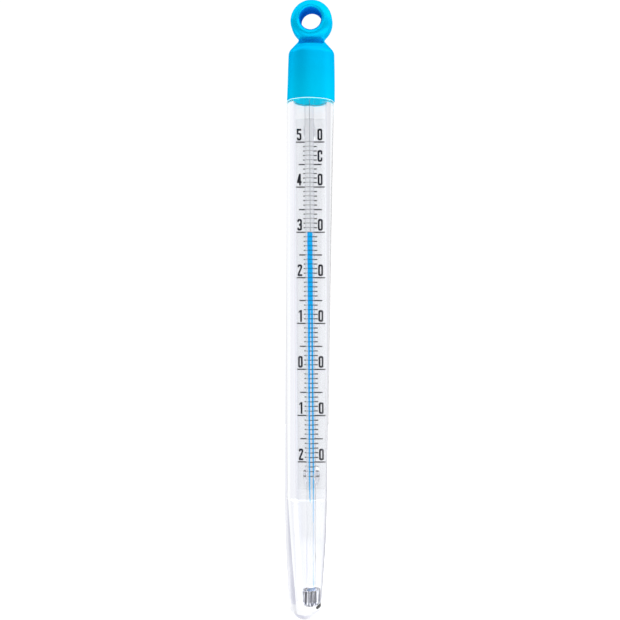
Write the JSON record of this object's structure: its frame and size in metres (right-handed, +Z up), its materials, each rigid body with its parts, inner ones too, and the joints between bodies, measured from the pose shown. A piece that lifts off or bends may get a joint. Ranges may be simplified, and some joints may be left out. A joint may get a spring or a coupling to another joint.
{
  "type": "pond thermometer",
  "caption": "Hanging glass thermometer: clear tapered housing with a blue eyelet cap, inside it a capillary stem with blue liquid on a printed scale strip and a metal end weight.",
  "frame": {"origin": "centre of the eyelet bore", "axes": "+Z up along the housing towards the eyelet, +Y along the eyelet bore away from the printed face, +X to the right of a reader"},
  "size_m": [0.0166, 0.0166, 0.2166],
  "materials": {
    "cap_blue": "semi-gloss moulded, slight waviness",
    "clear_housing": "polished clear moulding",
    "clear_bond": "clear cured adhesive",
    "opal_strip": "opal white, translucent",
    "black_print": "printed ink",
    "stem_glass": "drawn lens-front glass",
    "blue_liquid": "dyed liquid",
    "ballast_metal": "turned, bright"
  },
  "bodies": {
    "housing": {"eyelet_cap": "cap_blue", "cap_bond_ring": "clear_bond", "housing_tube": "clear_housing", "scale_strip": "opal_strip", "graduation_lines": "black_print", "scale_numerals": "black_print", "capillary_stem": "stem_glass", "stem_bulb": "stem_glass", "bulb_liquid": "blue_liquid", "liquid_thread": "blue_liquid", "ballast_slug": "ballast_metal", "ballast_adhesive": "clear_bond", "upper_stem_adhesive": "clear_bond", "lower_stem_adhesive": "clear_bond"},
    "column": {"thread_top": "blue_liquid"}
  },
  "joints": [
    {"name": "column_rise", "type": "slide", "parent": "housing", "child": "column", "axis": [-0.0126, 0, 0.9999], "range_m": [-0.08047, 0.03159], "deforming": ["liquid_thread"]}
  ]
}
